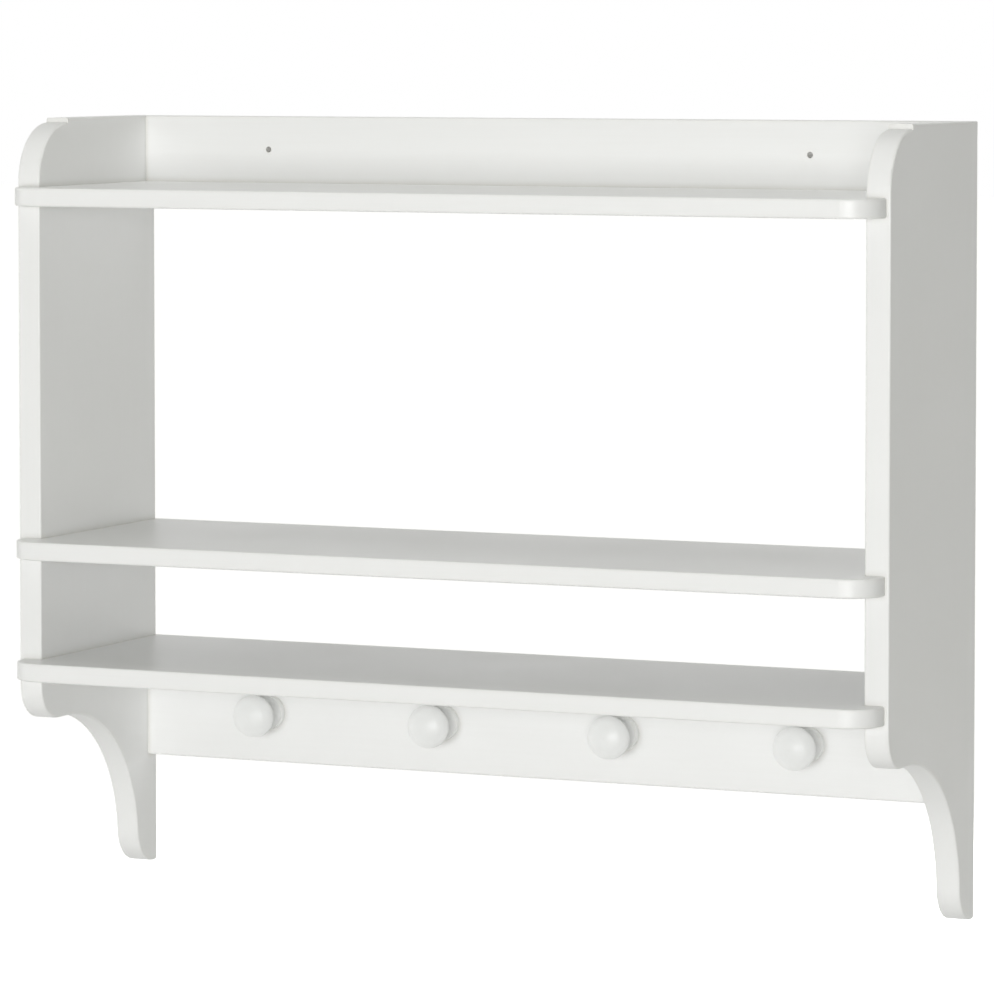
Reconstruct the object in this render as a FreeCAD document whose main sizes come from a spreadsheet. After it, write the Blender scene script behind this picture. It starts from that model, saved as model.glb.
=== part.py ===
import FreeCAD, Part
import math
import os

import Sketcher

# A wall-hung peg rail with three shelves, in painted board.
# X runs along the width to the viewer's right, Y runs back into the wall, Z runs up.
# The origin lies on the wall plane, midway between the two wall screw holes of the upper rail.
# All lengths are in millimetres.

# Driving dimensions: the name of each, its size and what it measures.
DIMENSIONS = (
    ("width", 900, "over the outer faces of the two side panels"),
    ("panel_depth", 237, "wall to the front edge of a side panel"),
    ("panel_thickness", 24, "side panel board"),
    ("shelf_thickness", 18, "shelf board"),
    ("rail_thickness", 18, "upper rail and peg rail board"),
    ("eased_edge", 2, "radius on the edges that a hand meets"),
    ("upper_rail_height", 66, "top shelf to the top of the rail"),
    ("upper_space", 324, "clear height between the top and middle shelves"),
    ("lower_space", 100, "clear height between the middle and bottom shelves"),
    ("peg_rail_height", 102, "underside of the bottom shelf to the foot of the peg rail"),
    ("top_step", 4.5, "fillet step at the head of a side panel"),
    ("top_curve_radius", 58, "quarter round under that step"),
    ("lobe_drop", 43, "underside of the bottom shelf to the flat of the lobe"),
    ("lobe_radius", 34, "front corner of the lobe"),
    ("lobe_flat", 19, "flat underside of the lobe, from that corner back to the hollow curve"),
    ("foot_drop", 168.5, "flat of the lobe down to the end of the foot"),
    ("foot_depth", 41, "wall to the front of the foot, at its widest"),
    ("foot_radius", 35, "front of the foot, below the hollow curve"),
    ("heel_radius", 3.5, "corner of the foot at the wall"),
    ("shelf_overhang", 36, "front of a side panel to the front of a shelf"),
    ("ear_inset", 4, "outer face of a side panel back to the end of a shelf"),
    ("ear_radius", 32, "rounded front corner of a shelf, seen from above"),
    ("outer_peg_inset", 138, "end of a rail to its outer peg, and to the wall screw hole above that"),
    ("wall_hole_radius", 3, "wall screw hole"),
    ("shelf_dowel_radius", 4, "beech dowel between a shelf and a side panel"),
    ("shelf_dowel_length", 30, "its length"),
    ("shelf_dowel_setback", 55, "wall to the first dowel in a shelf end"),
    ("shelf_dowel_pitch", 64, "from one dowel to the next in a shelf end"),
    ("rail_dowel_radius", 3, "beech dowel between a rail and a side panel"),
    ("rail_dowel_length", 30, "its length"),
    ("upper_dowel_pitch", 32, "between the two dowels in an end of the upper rail"),
    ("lower_dowel_pitch", 64, "between the two dowels in an end of the peg rail"),
    ("dowel_in_panel", 12, "length of a dowel that sits in the side panel"),
    ("dowel_chamfer", 1, "chamfered end of a dowel"),
    ("end_clearance", 0.5, "glue space past the end of a dowel"),
    ("fit_clearance", 0.1, "between a dowel, screw or insert and its hole, all round"),
    ("peg_drop", 52, "underside of the bottom shelf to the middle of the pegs"),
    ("peg_base_radius", 17, "turned foot of a peg"),
    ("peg_base_height", 7, "turned foot of a peg, along its axis"),
    ("peg_base_rim", 1, "rounded rim of that foot"),
    ("peg_cove_edge_radius", 15.5, "radius of the peg at both edges of its cove"),
    ("peg_neck_radius", 9.5, "narrowest part of the cove"),
    ("peg_cove_width", 20, "cove from edge to edge, along the axis"),
    ("peg_head_radius", 21, "widest part of the head"),
    ("peg_head_back", 9, "edge of the cove to the widest part of the head"),
    ("peg_head_front", 14, "widest part of the head to its crown"),
    ("peg_head_rim", 12, "radius of the head's rounded rim"),
    ("peg_bore_depth", 16, "blind hole in the foot of a peg"),
    ("insert_radius", 3.2, "threaded insert in a peg"),
    ("insert_length", 12, "its length"),
    ("insert_setback", 0.5, "foot of the peg to the insert"),
    ("screw_radius", 2, "machine screw that holds a peg"),
    ("screw_length", 25, "under its head"),
    ("screw_tip", 0.6, "chamfer of its tip"),
    ("screw_head_radius", 4, "its pan head"),
    ("screw_head_height", 2.6, "its pan head"),
    ("screw_head_round", 1.4, "rounded edge of that head"),
    ("screw_slot_length", 4.6, "cross recess, end to end"),
    ("screw_slot_width", 1, "cross recess"),
    ("screw_slot_depth", 1.5, "cross recess"),
    ("screw_hole_radius", 2.25, "hole through the peg rail"),
    ("counterbore_radius", 4.6, "sinks the screw head in the back of the peg rail"),
    ("counterbore_depth", 3.5, "sinks the screw head in the back of the peg rail"),
)

PEG_COUNT = 4
SHELF_DOWEL_COUNT = 3
RAIL_DOWEL_COUNT = 2

# How far a point of an edge may lie from a plane and still count as on it.
NEAR = 0.001


class Size:
    """A length that knows its value and the sheet formula that gives it."""

    def __init__(self, value, text):
        self.value = float(value)
        self.text = text

    @staticmethod
    def parts(other):
        if isinstance(other, Size):
            return other.value, other.text
        return float(other), repr(other)

    def __add__(self, other):
        value, text = Size.parts(other)
        return Size(self.value + value, f"({self.text} + {text})")

    def __sub__(self, other):
        value, text = Size.parts(other)
        return Size(self.value - value, f"({self.text} - {text})")

    def __mul__(self, other):
        value, text = Size.parts(other)
        return Size(self.value * value, f"({self.text} * {text})")

    def __truediv__(self, other):
        value, text = Size.parts(other)
        return Size(self.value / value, f"({self.text} / {text})")

    def __neg__(self):
        return Size(-self.value, f"(0 - {self.text})")


ZERO = Size(0, "0")


def make_sheet(document):
    """Put the driving dimensions in a sheet and give each back as a Size."""
    sheet = document.addObject("Spreadsheet::Sheet", "sizes")
    found = {}
    for row, (name, value, meaning) in enumerate(DIMENSIONS, start=1):
        sheet.set(f"A{row}", name)
        sheet.set(f"B{row}", str(value))
        sheet.set(f"C{row}", meaning)
        sheet.setAlias(f"B{row}", name)
        found[name] = Size(value, f"sizes.{name}")
    document.recompute()
    return found


def bind(item, name, size):
    item.setExpression(name, size.text)


def place(item, x=ZERO, y=ZERO, z=ZERO):
    for axis, size in (("x", x), ("y", y), ("z", z)):
        bind(item, f"Placement.Base.{axis}", size)


def new_body(name):
    body = doc.addObject("PartDesign::Body", name)
    body.Label = name
    return body


def new_sketch(body, name, role, offset=ZERO):
    """A sketch on one of the body's own origin planes, moved along its normal by offset."""
    sketch = body.newObject("Sketcher::SketchObject", f"{body.Name}_{name}")
    plane = next(item for item in body.Origin.OriginFeatures if item.Role == role)
    sketch.AttachmentSupport = [(plane, "")]
    sketch.MapMode = "FlatFace"
    if offset is not ZERO:
        bind(sketch, "AttachmentOffset.Base.z", offset)
    return sketch


def pin_point(sketch, geometry, position, point):
    """Hold a point of the sketch at (x, y) from the sketch's origin."""
    for kind, axis, size in (("DistanceX", -2, point[0]), ("DistanceY", -1, point[1])):
        if size is ZERO:
            sketch.addConstraint(Sketcher.Constraint("PointOnObject", geometry, position, axis))
            continue
        index = sketch.addConstraint(Sketcher.Constraint(kind, -1, 1, geometry, position, size.value))
        bind(sketch, f"Constraints[{index}]", size)


def arc_between(start, end, radius, turn):
    """The shorter arc from start to end. turn is 1 if it bends to the left on the way, -1 if right."""
    chord = end - start
    middle = start + chord / 2
    left = FreeCAD.Vector(-chord.y, chord.x, 0).normalize()
    reach = math.sqrt(max(radius ** 2 - (chord.Length / 2) ** 2, 0))
    centre = middle + left * (turn * reach)
    crown = centre - left * (turn * radius)
    return Part.Arc(start, crown, end)


def draw_outline(sketch, points, arcs):
    """A closed outline through the points. arcs maps a point's number to the (radius, turn)
    of the arc that leaves it, and every other side is straight."""
    corners = [FreeCAD.Vector(x.value, y.value, 0) for x, y in points]
    count = len(points)
    ends = []
    for number in range(count):
        start, end = corners[number], corners[(number + 1) % count]
        if number not in arcs:
            index = sketch.addGeometry(Part.LineSegment(start, end))
            ends.append((index, 1, 2))
            continue
        radius, turn = arcs[number]
        index = sketch.addGeometry(arc_between(start, end, radius.value, turn))
        # A sketch stores every arc anticlockwise, so one that bends right starts at its second end.
        ends.append((index, 1, 2) if turn > 0 else (index, 2, 1))
    for number, point in enumerate(points):
        index, first, _ = ends[number]
        previous, _, last = ends[number - 1]
        sketch.addConstraint(Sketcher.Constraint("Coincident", previous, last, index, first))
        pin_point(sketch, index, first, point)
    for number, (radius, _) in arcs.items():
        row = sketch.addConstraint(Sketcher.Constraint("Radius", ends[number][0], radius.value))
        bind(sketch, f"Constraints[{row}]", radius)


def draw_circles(sketch, centres, radius):
    for x, y in centres:
        centre = FreeCAD.Vector(x.value, y.value, 0)
        circle = Part.Circle(centre, FreeCAD.Vector(0, 0, 1), radius.value)
        index = sketch.addGeometry(circle)
        pin_point(sketch, index, 3, (x, y))
        row = sketch.addConstraint(Sketcher.Constraint("Radius", index, radius.value))
        bind(sketch, f"Constraints[{row}]", radius)


def add_pad(body, sketch, length):
    pad = body.newObject("PartDesign::Pad", f"{sketch.Name}_pad")
    pad.Profile = sketch
    bind(pad, "Length", length)
    doc.recompute()
    return pad


def add_pocket(body, sketch, depth, reverse=False):
    """Cut the sketch into the body, and make sure that it took something away."""
    before = body.Shape.Volume
    pocket = body.newObject("PartDesign::Pocket", f"{sketch.Name}_pocket")
    pocket.Profile = sketch
    pocket.Reversed = reverse
    bind(pocket, "Length", depth)
    doc.recompute()
    if body.Shape.Volume >= before:
        raise ValueError(f"{pocket.Name} cuts nothing")
    return pocket


def add_revolution(body, sketch, axis="V_Axis"):
    """Turn the sketch a full round about one of its own axes."""
    turned = body.newObject("PartDesign::Revolution", f"{sketch.Name}_turned")
    turned.Profile = sketch
    turned.ReferenceAxis = (sketch, [axis])
    turned.Angle = 360
    doc.recompute()
    return turned


def ease_edges(body, feature, test):
    """Round over those edges of the feature whose bounding box passes the test."""
    names = []
    for number, edge in enumerate(feature.Shape.Edges, start=1):
        if test(edge.BoundBox):
            names.append(f"Edge{number}")
    fillet = body.newObject("PartDesign::Fillet", f"{body.Name}_eased")
    fillet.Base = (feature, names)
    bind(fillet, "Radius", dims["eased_edge"])
    doc.recompute()
    return fillet


def lies_at(low, high, value):
    """True if the span from low to high is flat and lies at value."""
    return abs(low - value) < NEAR and abs(high - value) < NEAR


def copies(name, master, spots):
    """A group of separate solids, all copies of one body, at the given (x, y, z) spots."""
    links = []
    for number, (x, y, z) in enumerate(spots, start=1):
        link = doc.addObject("App::Link", f"{name}_{number}")
        link.LinkedObject = master
        place(link, x, y, z)
        links.append(link)
    group = doc.addObject("Part::Compound", name)
    group.Label = name
    group.Links = links
    doc.recompute()
    return group


doc = FreeCAD.newDocument("peg_rail")
dims = make_sheet(doc)

# Levels, from the wall holes at zero downwards. Each shelf level is the shelf's top face.
half_width = dims["width"] / 2
inner_half = half_width - dims["panel_thickness"]
top_level = dims["upper_rail_height"] / 2
top_shelf_level = -top_level
middle_shelf_level = top_shelf_level - dims["shelf_thickness"] - dims["upper_space"]
bottom_shelf_level = middle_shelf_level - dims["shelf_thickness"] - dims["lower_space"]
peg_rail_head = bottom_shelf_level - dims["shelf_thickness"]
peg_rail_middle = peg_rail_head - dims["peg_rail_height"] / 2
peg_level = peg_rail_head - dims["peg_drop"]
lobe_level = peg_rail_head - dims["lobe_drop"]
SHELF_LEVELS = {
    "shelf_top": top_shelf_level,
    "shelf_middle": middle_shelf_level,
    "shelf_bottom": bottom_shelf_level,
}

# Dowel places, shared by the boards on both sides of each joint and by the dowels.
half_shelf = dims["shelf_thickness"] / 2
shelf_dowel_ys = []
for number in range(SHELF_DOWEL_COUNT):
    shelf_dowel_ys.append(-(dims["shelf_dowel_setback"] + dims["shelf_dowel_pitch"] * number))
shelf_dowel_spots = []
for level in SHELF_LEVELS.values():
    shelf_dowel_spots += [(y, level - half_shelf) for y in shelf_dowel_ys]
rail_dowel_y = -(dims["rail_thickness"] / 2)


def rail_dowel_heights(pitch):
    """Heights of the dowels in a rail's end, about the rail's own middle."""
    middle = (RAIL_DOWEL_COUNT - 1) / 2
    return [pitch * (number - middle) for number in range(RAIL_DOWEL_COUNT)]


rail_dowel_spots = [(rail_dowel_y, z) for z in rail_dowel_heights(dims["upper_dowel_pitch"])]
rail_dowel_spots += [
    (rail_dowel_y, peg_rail_middle + z) for z in rail_dowel_heights(dims["lower_dowel_pitch"])
]
shelf_dowel_hole = dims["shelf_dowel_radius"] + dims["fit_clearance"]
rail_dowel_hole = dims["rail_dowel_radius"] + dims["fit_clearance"]
panel_hole_depth = dims["dowel_in_panel"] + dims["end_clearance"]


def board_hole_depth(dowel_length):
    """Depth of a dowel hole in the end of a shelf or rail."""
    return dowel_length - dims["dowel_in_panel"] + dims["end_clearance"]


# Pegs, evenly spaced between the outer two. The wall screw holes are in line with those two.
outer_peg_x = inner_half - dims["outer_peg_inset"]
peg_pitch = outer_peg_x * 2 / (PEG_COUNT - 1)
peg_xs = [peg_pitch * number - outer_peg_x for number in range(PEG_COUNT)]


def side_panel(name, x, inner_face, reverse):
    """One shaped end board. Its outline lies in the Y-Z plane and its thickness runs along X.
    The hollow curve is the arc that leaves the flat of the lobe and meets the round of the foot,
    both without a corner."""
    body = new_body(name)
    front = -dims["panel_depth"]
    curve_start = front + dims["top_curve_radius"]
    curve_top = top_level - dims["top_step"]
    lobe_front = front + dims["lobe_radius"]
    lobe_back = lobe_front + dims["lobe_flat"]
    foot_round = dims["foot_radius"]
    foot_centre = foot_round - dims["foot_depth"]
    foot_level = lobe_level - dims["foot_drop"]
    reach = foot_centre - lobe_back
    hollow_radius = reach * reach / (dims["foot_drop"] * 2) + dims["foot_drop"] / 2 - foot_round
    hollow_centre = lobe_level - hollow_radius
    meeting = hollow_radius / (hollow_radius + foot_round)
    points = (
        (ZERO, top_level),
        (curve_start, top_level),
        (curve_start, curve_top),
        (front, curve_top - dims["top_curve_radius"]),
        (front, lobe_level + dims["lobe_radius"]),
        (lobe_front, lobe_level),
        (lobe_back, lobe_level),
        (lobe_back + reach * meeting, hollow_centre + (foot_level + foot_round - hollow_centre) * meeting),
        (foot_centre, foot_level),
        (-dims["heel_radius"], foot_level),
        (ZERO, foot_level + dims["heel_radius"]),
    )
    arcs = {
        2: (dims["top_curve_radius"], 1),
        4: (dims["lobe_radius"], 1),
        6: (hollow_radius, -1),
        7: (foot_round, 1),
        9: (dims["heel_radius"], 1),
    }
    outline = new_sketch(body, "outline", "YZ_Plane")
    draw_outline(outline, points, arcs)
    board = add_pad(body, outline, dims["panel_thickness"])
    thickness = dims["panel_thickness"].value

    def is_outline_edge(box):
        """On either face, but not on the riser of the step or along the wall."""
        on_face = lies_at(box.XMin, box.XMax, 0) or lies_at(box.XMin, box.XMax, thickness)
        on_riser = lies_at(box.YMin, box.YMax, curve_start.value)
        return on_face and not on_riser and not lies_at(box.YMin, box.YMax, 0)

    ease_edges(body, board, is_outline_edge)
    shelf_holes = new_sketch(body, "shelf_holes", "YZ_Plane", inner_face)
    draw_circles(shelf_holes, shelf_dowel_spots, shelf_dowel_hole)
    add_pocket(body, shelf_holes, panel_hole_depth, reverse)
    rail_holes = new_sketch(body, "rail_holes", "YZ_Plane", inner_face)
    draw_circles(rail_holes, rail_dowel_spots, rail_dowel_hole)
    add_pocket(body, rail_holes, panel_hole_depth, reverse)
    place(body, x=x)
    return body


def drill_ends(body, spots, radius, depth):
    """Dowel holes in both ends of a board that spans the side panels."""
    right = new_sketch(body, "right_holes", "YZ_Plane", inner_half)
    draw_circles(right, spots, radius)
    add_pocket(body, right, depth)
    left = new_sketch(body, "left_holes", "YZ_Plane", -inner_half)
    draw_circles(left, spots, radius)
    add_pocket(body, left, depth, reverse=True)


def shelf(name, level):
    """A board cut round the front of both side panels, with its rounded ends lapping over them."""
    body = new_body(name)
    lap = -dims["panel_depth"]
    front = lap - dims["shelf_overhang"]
    end = half_width - dims["ear_inset"]
    round_end = end - dims["ear_radius"]
    round_back = front + dims["ear_radius"]
    points = (
        (-inner_half, ZERO),
        (-inner_half, lap),
        (-end, lap),
        (-end, round_back),
        (-round_end, front),
        (round_end, front),
        (end, round_back),
        (end, lap),
        (inner_half, lap),
        (inner_half, ZERO),
    )
    arcs = {
        3: (dims["ear_radius"], 1),
        5: (dims["ear_radius"], 1),
    }
    plan = new_sketch(body, "plan", "XY_Plane")
    draw_outline(plan, points, arcs)
    board = add_pad(body, plan, dims["shelf_thickness"])
    thickness = dims["shelf_thickness"].value

    def is_front_edge(box):
        on_face = lies_at(box.ZMin, box.ZMax, 0) or lies_at(box.ZMin, box.ZMax, thickness)
        return on_face and box.YMax < lap.value + NEAR and not lies_at(box.YMin, box.YMax, lap.value)

    ease_edges(body, board, is_front_edge)
    spots = [(y, half_shelf) for y in shelf_dowel_ys]
    drill_ends(body, spots, shelf_dowel_hole, board_hole_depth(dims["shelf_dowel_length"]))
    place(body, z=level - dims["shelf_thickness"])
    return body


def rail(name, height, dowel_pitch, eased_side, middle):
    """A board across the back between the side panels, with its eased edge up or down."""
    body = new_body(name)
    half = height / 2
    points = (
        (-inner_half, -half),
        (inner_half, -half),
        (inner_half, half),
        (-inner_half, half),
    )
    face = new_sketch(body, "face", "XZ_Plane")
    draw_outline(face, points, {})
    board = add_pad(body, face, dims["rail_thickness"])

    def is_eased(box):
        return lies_at(box.ZMin, box.ZMax, eased_side * half.value) and box.XLength > box.YLength

    ease_edges(body, board, is_eased)
    spots = [(rail_dowel_y, z) for z in rail_dowel_heights(dowel_pitch)]
    drill_ends(body, spots, rail_dowel_hole, board_hole_depth(dims["rail_dowel_length"]))
    place(body, z=middle)
    return body


def drill_back(body, name, spots, radius, depth):
    """Holes into the back face of a rail. Each spot is (x, z) from the rail's own middle."""
    sketch = new_sketch(body, name, "XZ_Plane")
    draw_circles(sketch, spots, radius)
    add_pocket(body, sketch, depth, reverse=True)


# A peg is turned about its own axis, which points out from the rail.
# Distances along the axis start at the foot's back face, where it meets the rail.
cove_end = dims["peg_base_height"] + dims["peg_cove_width"]
head_widest = cove_end + dims["peg_head_back"]
crown = head_widest + dims["peg_head_front"]
insert_bore_radius = dims["insert_radius"] + dims["fit_clearance"]


def peg(name, x):
    """A turned mushroom knob: round foot, deep cove, domed head, blind hole for its insert."""
    body = new_body(name)
    edge = dims["peg_cove_edge_radius"]
    depth = edge - dims["peg_neck_radius"]
    half_cove = dims["peg_cove_width"] / 2
    cove_radius = (half_cove * half_cove + depth * depth) / (depth * 2)

    # The back of the head is one arc that ends parallel to the axis at the widest part.
    flare = dims["peg_head_radius"] - edge
    back = dims["peg_head_back"]
    back_radius = (back * back + flare * flare) / (flare * 2)

    # The dome is the arc centred on the axis that meets the rounded rim without a corner.
    rim = dims["peg_head_rim"]
    rim_centre = dims["peg_head_radius"] - rim
    rise = dims["peg_head_front"]
    dome_radius = (rise * rise + rim_centre * rim_centre - rim * rim) / ((rise - rim) * 2)
    meeting = rim / (dome_radius - rim)
    points = (
        (insert_bore_radius, ZERO),
        (dims["peg_base_radius"], ZERO),
        (dims["peg_base_radius"], -(dims["peg_base_height"] - dims["peg_base_rim"])),
        (dims["peg_base_radius"] - dims["peg_base_rim"], -dims["peg_base_height"]),
        (edge, -dims["peg_base_height"]),
        (edge, -cove_end),
        (dims["peg_head_radius"], -head_widest),
        (rim_centre + rim_centre * meeting, -(head_widest + (dome_radius - rise) * meeting)),
        (ZERO, -crown),
        (ZERO, -dims["peg_bore_depth"]),
        (insert_bore_radius, -dims["peg_bore_depth"]),
    )
    arcs = {
        2: (dims["peg_base_rim"], -1),
        4: (cove_radius, 1),
        5: (back_radius, -1),
        6: (rim, -1),
        7: (dome_radius, -1),
    }
    profile = new_sketch(body, "profile", "XY_Plane")
    draw_outline(profile, points, arcs)
    add_revolution(body, profile)
    place(body, x, -dims["rail_thickness"], peg_level)
    return body


def dowel(name, radius, length):
    """A plain dowel along X with chamfered ends, its left end at the origin."""
    body = new_body(name)
    chamfer = dims["dowel_chamfer"]
    points = (
        (ZERO, ZERO),
        (length, ZERO),
        (length, radius - chamfer),
        (length - chamfer, radius),
        (chamfer, radius),
        (ZERO, radius - chamfer),
    )
    profile = new_sketch(body, "profile", "XY_Plane")
    draw_outline(profile, points, {})
    add_revolution(body, profile, "H_Axis")
    return body


def dowel_spots(spots, length):
    """Where the left end of each dowel lies, at the left joints and then at the right joints."""
    left = -(half_width - dims["panel_thickness"] + dims["dowel_in_panel"])
    right = inner_half + dims["dowel_in_panel"] - length
    return [(x, y, z) for x in (left, right) for y, z in spots]


def threaded_insert(name):
    """A brass sleeve along Y that takes the screw of a peg."""
    body = new_body(name)
    bore = dims["screw_radius"] + dims["fit_clearance"]
    points = (
        (bore, ZERO),
        (dims["insert_radius"], ZERO),
        (dims["insert_radius"], -dims["insert_length"]),
        (bore, -dims["insert_length"]),
    )
    profile = new_sketch(body, "profile", "XY_Plane")
    draw_outline(profile, points, {})
    add_revolution(body, profile)
    return body


def machine_screw(name):
    """A pan head screw along Y, the underside of its head at the origin and its tip to the front."""
    body = new_body(name)
    shank = dims["screw_radius"]
    head = dims["screw_head_radius"]
    height = dims["screw_head_height"]
    soft = dims["screw_head_round"]
    tip = dims["screw_tip"]
    points = (
        (ZERO, height),
        (head - soft, height),
        (head, height - soft),
        (head, ZERO),
        (shank, ZERO),
        (shank, -(dims["screw_length"] - tip)),
        (shank - tip, -dims["screw_length"]),
        (ZERO, -dims["screw_length"]),
    )
    arcs = {
        1: (soft, -1),
    }
    profile = new_sketch(body, "profile", "XY_Plane")
    draw_outline(profile, points, arcs)
    add_revolution(body, profile)

    # The cross recess opens in the top of the head.
    reach = dims["screw_slot_length"] / 2
    wing = dims["screw_slot_width"] / 2
    cross = (
        (-reach, -wing),
        (-wing, -wing),
        (-wing, -reach),
        (wing, -reach),
        (wing, -wing),
        (reach, -wing),
        (reach, wing),
        (wing, wing),
        (wing, reach),
        (-wing, reach),
        (-wing, wing),
        (-reach, wing),
    )
    recess = new_sketch(body, "recess", "XZ_Plane", -height)
    draw_outline(recess, cross, {})
    add_pocket(body, recess, dims["screw_slot_depth"], reverse=True)
    return body


# The pieces, from the ends inwards.
pieces = [
    side_panel("side_panel_left", -half_width, dims["panel_thickness"], False),
    side_panel("side_panel_right", inner_half, ZERO, True),
]
for shelf_name, shelf_level in SHELF_LEVELS.items():
    pieces.append(shelf(shelf_name, shelf_level))

upper_rail = rail("upper_rail", dims["upper_rail_height"], dims["upper_dowel_pitch"], 1, ZERO)
wall_spots = ((-outer_peg_x, ZERO), (outer_peg_x, ZERO))
drill_back(upper_rail, "wall_holes", wall_spots, dims["wall_hole_radius"], dims["rail_thickness"])
pieces.append(upper_rail)

peg_rail = rail("peg_rail", dims["peg_rail_height"], dims["lower_dowel_pitch"], -1, peg_rail_middle)
peg_spots = [(x, peg_level - peg_rail_middle) for x in peg_xs]
drill_back(peg_rail, "screw_holes", peg_spots, dims["screw_hole_radius"], dims["rail_thickness"])
drill_back(peg_rail, "counterbores", peg_spots, dims["counterbore_radius"], dims["counterbore_depth"])
pieces.append(peg_rail)

for number, peg_x in enumerate(peg_xs, start=1):
    pieces.append(peg(f"peg_{number}", peg_x))

shelf_dowel = dowel("shelf_dowel", dims["shelf_dowel_radius"], dims["shelf_dowel_length"])
rail_dowel = dowel("rail_dowel", dims["rail_dowel_radius"], dims["rail_dowel_length"])
insert = threaded_insert("peg_insert")
screw = machine_screw("peg_screw")

all_shelf_dowels = dowel_spots(shelf_dowel_spots, dims["shelf_dowel_length"])
all_rail_dowels = dowel_spots(rail_dowel_spots, dims["rail_dowel_length"])
insert_y = -(dims["rail_thickness"] + dims["insert_setback"])
screw_y = -dims["counterbore_depth"]
pieces += [
    copies("shelf_dowels", shelf_dowel, all_shelf_dowels),
    copies("rail_dowels", rail_dowel, all_rail_dowels),
    copies("peg_inserts", insert, [(x, insert_y, peg_level) for x in peg_xs]),
    copies("peg_screws", screw, [(x, screw_y, peg_level) for x in peg_xs]),
]

# Check every object, then write one file for each piece.
doc.recompute()
for item in doc.Objects:
    if "Invalid" in item.State or "Error" in item.State:
        raise ValueError(f"{item.Name} failed: {item.State}")
os.makedirs("parts", exist_ok=True)
for piece in pieces:
    if piece.Shape.isNull() or not piece.Shape.isValid():
        raise ValueError(f"{piece.Label} has no valid shape")
    piece.Shape.exportStep(f"parts/{piece.Label}.step")
    box = piece.Shape.optimalBoundingBox()
    print(
        f"{piece.Label}: {len(piece.Shape.Solids)} solids, {piece.Shape.Volume:.0f} mm3, "
        f"x {box.XMin:.1f} to {box.XMax:.1f}, y {box.YMin:.1f} to {box.YMax:.1f}, "
        f"z {box.ZMin:.1f} to {box.ZMax:.1f}"
    )
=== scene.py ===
import math

import bpy
import numpy as np
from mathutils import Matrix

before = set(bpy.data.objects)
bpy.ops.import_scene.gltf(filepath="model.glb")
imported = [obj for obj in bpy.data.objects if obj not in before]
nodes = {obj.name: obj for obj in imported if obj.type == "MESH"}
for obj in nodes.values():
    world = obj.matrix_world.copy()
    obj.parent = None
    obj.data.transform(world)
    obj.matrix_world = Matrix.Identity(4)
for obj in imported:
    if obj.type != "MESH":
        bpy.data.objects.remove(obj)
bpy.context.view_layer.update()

# Side panels: two shaped boards of close-grained wood, 24 mm thick, cut to one outline, their edges
# eased by sanding. They are sprayed with a satin white lacquer, which shows a fine orange peel and,
# very faintly, the grain that runs up the board.
LACQUER = (0.915, 0.918, 0.914, 1)
LACQUER_OVER_GRAIN = (0.898, 0.9, 0.893, 1)
LACQUER_WORN = (0.84, 0.835, 0.805, 1)
# The colour of the painted shade laid into inner corners and joints.
LACQUER_IN_CORNER_SHADE = (0.66, 0.65, 0.6, 1)
# Bare wood inside drilled holes, painted much darker as the shade deep in a hole.
BARE_AND_SHADED_IN_HOLES = (0.24, 0.2, 0.15, 1)
SATIN = 0.38
SATIN_VARIES = 0.035
FILM_BUMP = 0.09
FILM_DEPTH = 0.00012
PEEL_CELLS_PER_M = 620
GRAIN_LINES_PER_M = 420
GRAIN_RUN_PER_M = 9
GRAIN_SHOWS = 0.6
GRAIN_HEIGHT = 0.5
CLOUDS_PER_M = 7
EDGE_WIDTH = 0.0035
EDGE_GAIN = 2.4
# How strongly the painted shade darkens inner corners.
CORNER_SHADE = 0.4
CORNER_WIDTH = 0.006
CORNER_HOLLOW = 0.6
HOLE_HOLLOW = 0.75
SHORT_RAYS = 6


def add_node(tree, kind, settings=None, inputs=None):
    """A shader node with its settings and its unlinked input values."""
    node = tree.nodes.new(kind)
    for name, value in (settings or {}).items():
        setattr(node, name, value)
    for name, value in (inputs or {}).items():
        node.inputs[name].default_value = value
    return node


def new_group(name, inputs, outputs):
    """An empty shader node group with named sockets, and its two end nodes."""
    group = bpy.data.node_groups.new(name, "ShaderNodeTree")
    for direction, sockets in (("INPUT", inputs), ("OUTPUT", outputs)):
        for socket, (kind, value) in sockets.items():
            made = group.interface.new_socket(name=socket, in_out=direction, socket_type=kind)
            if value is not None:
                made.default_value = value
    return group, add_node(group, "NodeGroupInput"), add_node(group, "NodeGroupOutput")


def math_node(tree, operation, first, second, clamp=False):
    """The result of one sum on two values. Each is a number or a socket."""
    node = add_node(tree, "ShaderNodeMath", {"operation": operation, "use_clamp": clamp})
    for socket, value in zip(node.inputs, (first, second)):
        if isinstance(value, (int, float)):
            socket.default_value = value
        else:
            tree.links.new(value, socket)
    return node.outputs["Value"]


def noise(tree, vector, scale, detail, roughness=0.5):
    """Noise from 0 to 1 on a vector, with so many cells per unit."""
    node = add_node(
        tree,
        "ShaderNodeTexNoise",
        inputs={"Scale": scale, "Detail": detail, "Roughness": roughness},
    )
    tree.links.new(vector, node.inputs["Vector"])
    return node.outputs["Fac"]


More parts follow.
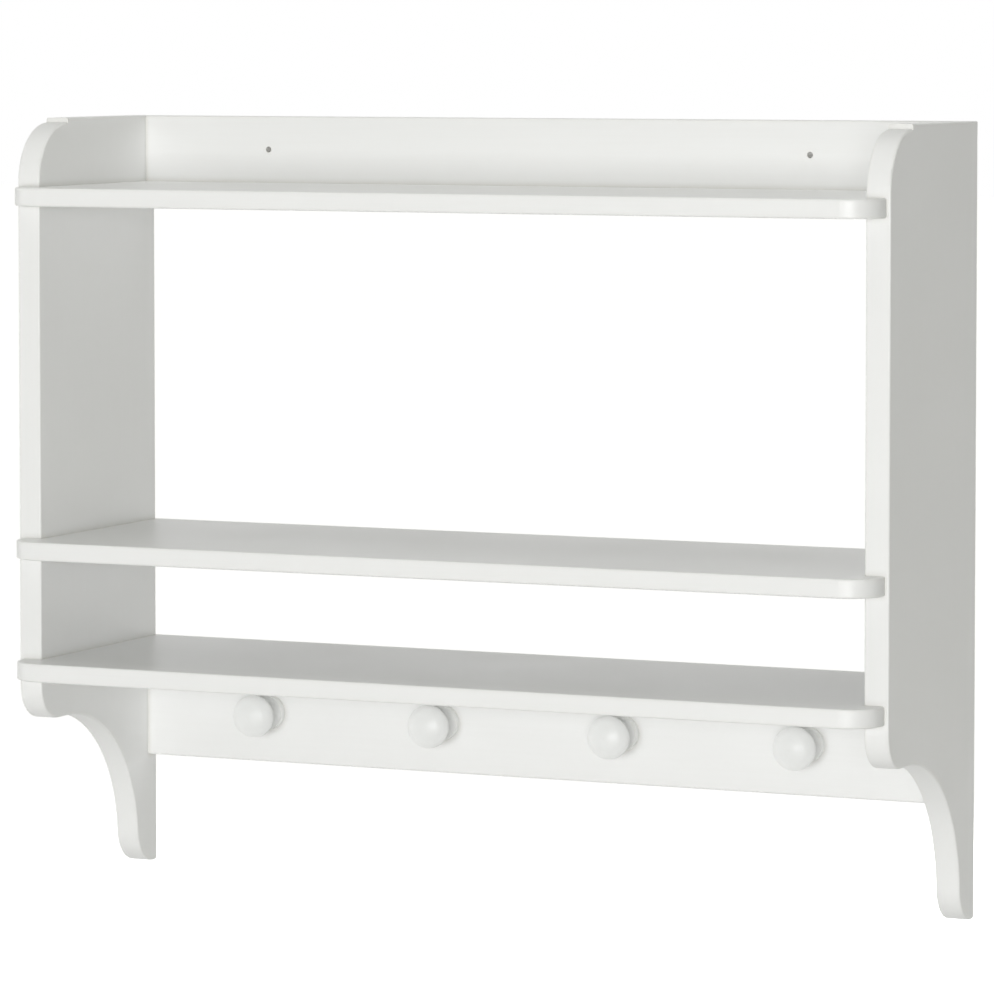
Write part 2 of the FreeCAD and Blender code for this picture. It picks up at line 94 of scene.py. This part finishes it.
def lacquer_film():
    """How a sprayed film lies on wood. Height is peel + grain * GRAIN_HEIGHT, where peel is fine
    round noise and grain is noise drawn out along the board. Grain and Clouds, which is broad
    uneven noise, are masks from 0 to 1."""
    group, inside, outside = new_group(
        "lacquer_film",
        {
            "Vector": ("NodeSocketVector", None),
            "Stretch": ("NodeSocketVector", (1.0, 1.0, 1.0)),
            "Peel Cells": ("NodeSocketFloat", 600.0),
            "Cloud Cells": ("NodeSocketFloat", 7.0),
        },
        {
            "Height": ("NodeSocketFloat", None),
            "Grain": ("NodeSocketFloat", None),
            "Clouds": ("NodeSocketFloat", None),
        },
    )
    stretched = add_node(group, "ShaderNodeVectorMath", {"operation": "MULTIPLY"})
    group.links.new(inside.outputs["Vector"], stretched.inputs[0])
    group.links.new(inside.outputs["Stretch"], stretched.inputs[1])
    grain = noise(group, stretched.outputs["Vector"], 1.0, detail=3.0, roughness=0.6)
    peel = add_node(group, "ShaderNodeTexNoise", inputs={"Detail": 1.0, "Roughness": 0.4})
    group.links.new(inside.outputs["Vector"], peel.inputs["Vector"])
    group.links.new(inside.outputs["Peel Cells"], peel.inputs["Scale"])
    clouds = add_node(group, "ShaderNodeTexNoise", inputs={"Detail": 3.0, "Roughness": 0.55})
    group.links.new(inside.outputs["Vector"], clouds.inputs["Vector"])
    group.links.new(inside.outputs["Cloud Cells"], clouds.inputs["Scale"])
    raised = math_node(group, "MULTIPLY", grain, GRAIN_HEIGHT)
    height = math_node(group, "ADD", peel.outputs["Fac"], raised)
    group.links.new(height, outside.inputs["Height"])
    group.links.new(grain, outside.inputs["Grain"])
    group.links.new(clouds.outputs["Fac"], outside.inputs["Clouds"])
    return group


def edge_and_hollow():
    """How a surface turns, from short rays. Edge grows to 1 on outer edges, where rays cast into
    the solid soon leave it. Hollow is the share of rays cast outwards that something near stops:
    about a half in an inner corner, and nearly 1 inside a small hole."""
    group, inside, outside = new_group(
        "edge_and_hollow",
        {
            "Edge Width": ("NodeSocketFloat", 0.003),
            "Hollow Width": ("NodeSocketFloat", 0.01),
        },
        {"Edge": ("NodeSocketFloat", None), "Hollow": ("NodeSocketFloat", None)},
    )
    for socket, width, rays, gain in (
        ("Edge", "Edge Width", {"inside": True, "only_local": True}, EDGE_GAIN),
        ("Hollow", "Hollow Width", {}, 1.0),
    ):
        shade = add_node(group, "ShaderNodeAmbientOcclusion", {"samples": SHORT_RAYS, **rays})
        group.links.new(inside.outputs[width], shade.inputs["Distance"])
        closed = math_node(group, "SUBTRACT", 1.0, shade.outputs["AO"])
        mask = math_node(group, "MULTIPLY", closed, gain, clamp=True)
        group.links.new(mask, outside.inputs[socket])
    return group


film = lacquer_film()
wear = edge_and_hollow()


def mix_colours(tree, factor, first, second):
    """One colour laid over another by a mask. Each colour is a constant or a socket."""
    node = add_node(tree, "ShaderNodeMix", {"data_type": "RGBA"})
    tree.links.new(factor, node.inputs["Factor"])
    for socket, value in ((node.inputs[6], first), (node.inputs[7], second)):
        if isinstance(value, tuple):
            socket.default_value = value
        else:
            tree.links.new(value, socket)
    return node.outputs[2]


def ranged(tree, value, low, high, to_low, to_high):
    """A value carried from one range to another, held inside it."""
    node = add_node(
        tree,
        "ShaderNodeMapRange",
        inputs={"From Min": low, "From Max": high, "To Min": to_low, "To Max": to_high},
    )
    tree.links.new(value, node.inputs["Value"])
    return node.outputs["Result"]


def painted_wood(name, stretch, film_colour=LACQUER, grain_colour=LACQUER_OVER_GRAIN, chalk=0.0):
    """Satin white lacquer on wood. Stretch is the grain's cells per metre along each axis, few
    along the grain and many across it. Chalk is how rough the film is under its sheen, from 0 to
    1, and flattens the shading of a round piece."""
    material = bpy.data.materials.new(name)
    material.use_nodes = True
    tree = material.node_tree
    shader = tree.nodes["Principled BSDF"]
    shader.inputs["Diffuse Roughness"].default_value = chalk
    place = add_node(tree, "ShaderNodeTexCoord").outputs["Object"]
    layer = add_node(tree, "ShaderNodeGroup", {"node_tree": film})
    layer.inputs["Stretch"].default_value = stretch
    layer.inputs["Peel Cells"].default_value = PEEL_CELLS_PER_M
    layer.inputs["Cloud Cells"].default_value = CLOUDS_PER_M
    tree.links.new(place, layer.inputs["Vector"])
    use = add_node(tree, "ShaderNodeGroup", {"node_tree": wear})
    use.inputs["Edge Width"].default_value = EDGE_WIDTH
    use.inputs["Hollow Width"].default_value = CORNER_WIDTH

    # The colour is a shade darker in the grain's pores and along the worn, eased edges. Inner
    # corners and joints are darkened with painted shade, by how enclosed the surface is. Holes are
    # drilled after the lacquer, so they are bare inside, and that bare wood is painted darker as
    # the shade deep in a hole.
    pores = ranged(tree, layer.outputs["Grain"], 0.4, 0.8, 0.0, GRAIN_SHOWS)
    colour = mix_colours(tree, pores, film_colour, grain_colour)
    rubbed = math_node(tree, "MULTIPLY", use.outputs["Edge"], layer.outputs["Clouds"])
    colour = mix_colours(tree, rubbed, colour, LACQUER_WORN)
    # Painted shade in inner corners, growing with the share of short rays that are stopped.
    painted_corner_shade = ranged(tree, use.outputs["Hollow"], 0.0, CORNER_HOLLOW, 0.0, CORNER_SHADE)
    colour = mix_colours(tree, painted_corner_shade, colour, LACQUER_IN_CORNER_SHADE)
    # Bare wood where the surface is nearly enclosed, as in a hole, darkened with painted shade.
    drilled_and_shaded = ranged(tree, use.outputs["Hollow"], HOLE_HOLLOW, 1.0, 0.0, 1.0)
    colour = mix_colours(tree, drilled_and_shaded, colour, BARE_AND_SHADED_IN_HOLES)
    tree.links.new(colour, shader.inputs["Base Color"])

    # Handled edges are polished, and the flat of a board varies a little in sheen. The roughness
    # stays above 0.28, because a denoised render shows marks where it crosses about 0.27.
    smooth, rough = SATIN - SATIN_VARIES, SATIN + SATIN_VARIES
    sheen = ranged(tree, layer.outputs["Clouds"], 0.3, 0.7, smooth, rough)
    polished = math_node(tree, "MULTIPLY", use.outputs["Edge"], SATIN_VARIES)
    tree.links.new(math_node(tree, "SUBTRACT", sheen, polished), shader.inputs["Roughness"])
    bump = add_node(
        tree, "ShaderNodeBump", inputs={"Strength": FILM_BUMP, "Distance": FILM_DEPTH}
    )
    tree.links.new(layer.outputs["Height"], bump.inputs["Height"])
    tree.links.new(bump.outputs["Normal"], shader.inputs["Normal"])
    return material


def finish_node(name, material):
    """Give a CAD node its finish in every slot."""
    mesh = nodes[name].data
    mesh.materials.clear()
    mesh.materials.append(material)


upright_lacquer = painted_wood(
    "upright_lacquer", (GRAIN_LINES_PER_M, GRAIN_LINES_PER_M, GRAIN_RUN_PER_M)
)
finish_node("side_panel_left", upright_lacquer)
finish_node("side_panel_right", upright_lacquer)

# Shelves: three boards, 18 mm thick, whose rounded front corners lap over the side panels. They
# have the panels' lacquer, with the grain running along the shelf.
level_lacquer = painted_wood(
    "level_lacquer", (GRAIN_RUN_PER_M, GRAIN_LINES_PER_M, GRAIN_LINES_PER_M)
)
for name in ("shelf_top", "shelf_middle", "shelf_bottom"):
    finish_node(name, level_lacquer)

# Rails: the upper rail carries the unit on two wall screws and the lower one carries the pegs. Both
# are 18 mm boards set between the side panels, lacquered with them.
finish_node("upper_rail", level_lacquer)
finish_node("peg_rail", level_lacquer)

# Pegs: mushroom knobs turned from solid wood, their grain running out from the wall. Their lacquer
# is guessed to be chalkier than the boards' and a shade darker, because a knob in the photograph
# looks even right across, with one small highlight.
PEG_LACQUER = (0.86, 0.866, 0.862, 1)
PEG_LACQUER_OVER_GRAIN = (0.84, 0.844, 0.837, 1)
PEG_CHALK = 0.85
peg_lacquer = painted_wood(
    "peg_lacquer",
    (GRAIN_LINES_PER_M, GRAIN_RUN_PER_M, GRAIN_LINES_PER_M),
    PEG_LACQUER,
    PEG_LACQUER_OVER_GRAIN,
    PEG_CHALK,
)
for number in range(1, 5):
    finish_node(f"peg_{number}", peg_lacquer)

# Dowels: beech rods, 8 mm in the shelves and 6 mm in the rails, glued half in each board. Beech is
# pinkish tan, with short dark flecks along the grain, and is left bare inside a joint.
BEECH = (0.56, 0.34, 0.17, 1)
BEECH_PALE = (0.66, 0.44, 0.25, 1)
BEECH_FLECK = (0.33, 0.17, 0.08, 1)
BEECH_STRETCH = (60.0, 900.0, 900.0)
FLECK_STRETCH = (350.0, 2600.0, 2600.0)
FLECKS_SHOW = 0.7
BEECH_SMOOTH = 0.62
BEECH_ROUGH = 0.74
BEECH_BUMP = 0.4
BEECH_DEPTH = 0.0001


def bare_beech():
    """Bare beech with its grain along X: two noises drawn out along the rod, growth and flecks."""
    material = bpy.data.materials.new("bare_beech")
    material.use_nodes = True
    tree = material.node_tree
    shader = tree.nodes["Principled BSDF"]
    place = add_node(tree, "ShaderNodeTexCoord").outputs["Object"]
    masks = []
    for stretch in (BEECH_STRETCH, FLECK_STRETCH):
        drawn = add_node(tree, "ShaderNodeVectorMath", {"operation": "MULTIPLY"})
        tree.links.new(place, drawn.inputs[0])
        drawn.inputs[1].default_value = stretch
        masks.append(noise(tree, drawn.outputs["Vector"], 1.0, detail=3.0))
    growth, flecks = masks
    colour = mix_colours(tree, ranged(tree, growth, 0.35, 0.65, 0.0, 1.0), BEECH, BEECH_PALE)
    dark = ranged(tree, flecks, 0.6, 0.72, 0.0, FLECKS_SHOW)
    tree.links.new(mix_colours(tree, dark, colour, BEECH_FLECK), shader.inputs["Base Color"])
    sheen = ranged(tree, growth, 0.3, 0.7, BEECH_SMOOTH, BEECH_ROUGH)
    tree.links.new(sheen, shader.inputs["Roughness"])
    bump = add_node(
        tree, "ShaderNodeBump", inputs={"Strength": BEECH_BUMP, "Distance": BEECH_DEPTH}
    )
    tree.links.new(flecks, bump.inputs["Height"])
    tree.links.new(bump.outputs["Normal"], shader.inputs["Normal"])
    return material


beech = bare_beech()
finish_node("shelf_dowels", beech)
finish_node("rail_dowels", beech)

# Peg fastenings: a turned brass insert sits in the foot of each peg, and a bright zinc-plated pan
# head screw comes through the peg rail from behind. Its head lies in a counterbore in the back.
BRASS = (0.72, 0.50, 0.20, 1)
BRASS_DULL = (0.48, 0.33, 0.14, 1)
BRASS_SMOOTH = 0.28
BRASS_ROUGH = 0.42
ZINC = (0.62, 0.64, 0.66, 1)
ZINC_DULL = (0.47, 0.485, 0.50, 1)
ZINC_SMOOTH = 0.28
ZINC_ROUGH = 0.4
TARNISH_CELLS_PER_M = 320
TOOL_MARKS_PER_M = 5200
TOOL_MARK_BUMP = 0.15
TOOL_MARK_DEPTH = 0.00002


def small_metal(name, bright, dull, smooth, rough):
    """Turned metal with fine marks round the Y axis, duller and rougher in uneven patches."""
    material = bpy.data.materials.new(name)
    material.use_nodes = True
    tree = material.node_tree
    shader = tree.nodes["Principled BSDF"]
    shader.inputs["Metallic"].default_value = 1.0
    place = add_node(tree, "ShaderNodeTexCoord").outputs["Object"]
    patches = noise(tree, place, TARNISH_CELLS_PER_M, detail=4.0, roughness=0.6)
    mask = ranged(tree, patches, 0.42, 0.68, 0.0, 1.0)
    tree.links.new(mix_colours(tree, mask, bright, dull), shader.inputs["Base Color"])
    tree.links.new(ranged(tree, patches, 0.35, 0.7, smooth, rough), shader.inputs["Roughness"])
    marks = add_node(
        tree,
        "ShaderNodeTexWave",
        {"bands_direction": "Y"},
        {"Scale": TOOL_MARKS_PER_M, "Distortion": 0.6, "Detail": 1.0},
    )
    tree.links.new(place, marks.inputs["Vector"])
    bump = add_node(
        tree, "ShaderNodeBump", inputs={"Strength": TOOL_MARK_BUMP, "Distance": TOOL_MARK_DEPTH}
    )
    tree.links.new(marks.outputs["Fac"], bump.inputs["Height"])
    tree.links.new(bump.outputs["Normal"], shader.inputs["Normal"])
    return material


brass = small_metal("turned_brass", BRASS, BRASS_DULL, BRASS_SMOOTH, BRASS_ROUGH)
finish_node("peg_inserts", brass)
zinc = small_metal("bright_zinc", ZINC, ZINC_DULL, ZINC_SMOOTH, ZINC_ROUGH)
finish_node("peg_screws", zinc)

# The floor: a plain pale floor, two metres under the unit's wall screws. A glow that only the
# camera and reflections see lifts it to white, more so far away, where less light falls. The
# unit's shadow still darkens it a little.
FLOOR_LEVEL = -2.0
FLOOR_REACH = 60.0
FLOOR_COLOUR = (0.8, 0.8, 0.8, 1)
FLOOR_NEAR = 2.5
FLOOR_FAR = 6.3
FLOOR_LIFT_NEAR = 0.56
FLOOR_LIFT_FAR = 0.82
corners = np.array([[-1, -1, 0], [1, -1, 0], [1, 1, 0], [-1, 1, 0]], float) * FLOOR_REACH
corners[:, 2] = FLOOR_LEVEL
floor_mesh = bpy.data.meshes.new("floor")
floor_mesh.from_pydata(corners.tolist(), [], [(0, 1, 2, 3)])
floor = bpy.data.objects.new("floor", floor_mesh)
bpy.context.scene.collection.objects.link(floor)


def seen_by_camera(tree):
    """1 for a ray that comes from the camera, off a glossy surface or through a clear one."""
    path = add_node(tree, "ShaderNodeLightPath")
    straight = math_node(
        tree, "MAXIMUM", path.outputs["Is Camera Ray"], path.outputs["Is Glossy Ray"]
    )
    return math_node(tree, "MAXIMUM", straight, path.outputs["Is Transmission Ray"])


floor_material = bpy.data.materials.new("pale_floor")
floor_material.use_nodes = True
tree = floor_material.node_tree
tree.nodes.clear()
matt = add_node(tree, "ShaderNodeBsdfDiffuse", inputs={"Color": FLOOR_COLOUR})
glow = add_node(tree, "ShaderNodeEmission")
away = add_node(tree, "ShaderNodeVectorMath", {"operation": "LENGTH"})
tree.links.new(add_node(tree, "ShaderNodeTexCoord").outputs["Object"], away.inputs[0])
lift = ranged(
    tree, away.outputs["Value"], FLOOR_NEAR, FLOOR_FAR, FLOOR_LIFT_NEAR, FLOOR_LIFT_FAR
)
seen = seen_by_camera(tree)
tree.links.new(math_node(tree, "MULTIPLY", seen, lift), glow.inputs["Strength"])
both = add_node(tree, "ShaderNodeAddShader")
tree.links.new(matt.outputs["BSDF"], both.inputs[0])
tree.links.new(glow.outputs["Emission"], both.inputs[1])
surface = add_node(tree, "ShaderNodeOutputMaterial")
tree.links.new(both.outputs["Shader"], surface.inputs["Surface"])
floor_mesh.materials.append(floor_material)

# The studio: a surround of faintly yellow grey that the camera sees as white, a broad lamp far in
# front, a little to the right, another behind, and weaker ones above and to the left. The lamp
# behind lights the backs and comes through the open bays, but no camera or gloss ray sees it.
SURROUND = 0.25
SURROUND_TINT = (1.0, 1.006, 0.905, 1)
SEEN_WHITE = (1.0, 1.0, 1.0, 1)
STUDIO_AIM = np.array((0, -0.1, -0.35))
world = bpy.data.worlds.new("studio")
bpy.context.scene.world = world
world.use_nodes = True
tree = world.node_tree
background = tree.nodes["Background"]
seen = seen_by_camera(tree)
tree.links.new(mix_colours(tree, seen, SURROUND_TINT, SEEN_WHITE), background.inputs["Color"])
tree.links.new(ranged(tree, seen, 0.0, 1.0, SURROUND, 1.0), background.inputs["Strength"])


def lamp(name, turn, rise, distance, width, height, level):
    """An area lamp that looks at the unit. Turn is its angle to the right of straight ahead, and
    rise its angle above level, in degrees. Its power is level * (pi * distance) squared, at which
    a white board that faces it renders as light as level says, where 1 is white."""
    data = bpy.data.lights.new(name, "AREA")
    data.shape = "RECTANGLE"
    data.size = width
    data.size_y = height
    data.energy = level * (math.pi * distance) ** 2
    light = bpy.data.objects.new(name, data)
    bpy.context.scene.collection.objects.link(light)
    across, up = math.radians(turn), math.radians(rise)
    flat = math.cos(up)
    outwards = np.array((math.sin(across) * flat, -math.cos(across) * flat, math.sin(up)))
    light.location = STUDIO_AIM + outwards * distance
    light.rotation_euler = (math.pi / 2 - up, 0, across)
    return light


lamp("front_lamp", turn=13, rise=2, distance=9, width=5, height=2.2, level=0.512)
lamp("left_lamp", turn=-70, rise=5, distance=7, width=3, height=3, level=0.113)
lamp("top_lamp", turn=0, rise=85, distance=2.6, width=3, height=2, level=0.225)
back_lamp = lamp("back_lamp", turn=180, rise=2, distance=9, width=5, height=2.2, level=0.5)
back_lamp.visible_camera = False
back_lamp.visible_glossy = False

# The camera stands to the right of the unit and just above its wall screws, with a long lens. The
# picture is cut from the lower part of a larger frame, which the shift repeats.
CAMERA_PLACE = (2.0817, -4.6945, 0.1144)
CAMERA_TURN = math.radians(24.388)
CAMERA_DIP = math.radians(3.257)
CAMERA_ROLL = math.radians(-0.005)
FOCAL_PIXELS = 5261.6
AXIS_ROW = 333.8
PHOTO_PIXELS = 994
SENSOR_WIDTH = 36
camera_data = bpy.data.cameras.new("camera")
camera = bpy.data.objects.new("camera", camera_data)
bpy.context.scene.collection.objects.link(camera)
bpy.context.scene.camera = camera
camera_data.sensor_width = SENSOR_WIDTH
camera_data.lens = FOCAL_PIXELS / PHOTO_PIXELS * SENSOR_WIDTH
camera_data.shift_y = (AXIS_ROW - PHOTO_PIXELS / 2) / PHOTO_PIXELS
camera.location = CAMERA_PLACE
camera.rotation_mode = "XYZ"
camera.rotation_euler = (math.pi / 2 - CAMERA_DIP, CAMERA_ROLL, CAMERA_TURN)
bpy.context.scene.view_settings.view_transform = "Standard"
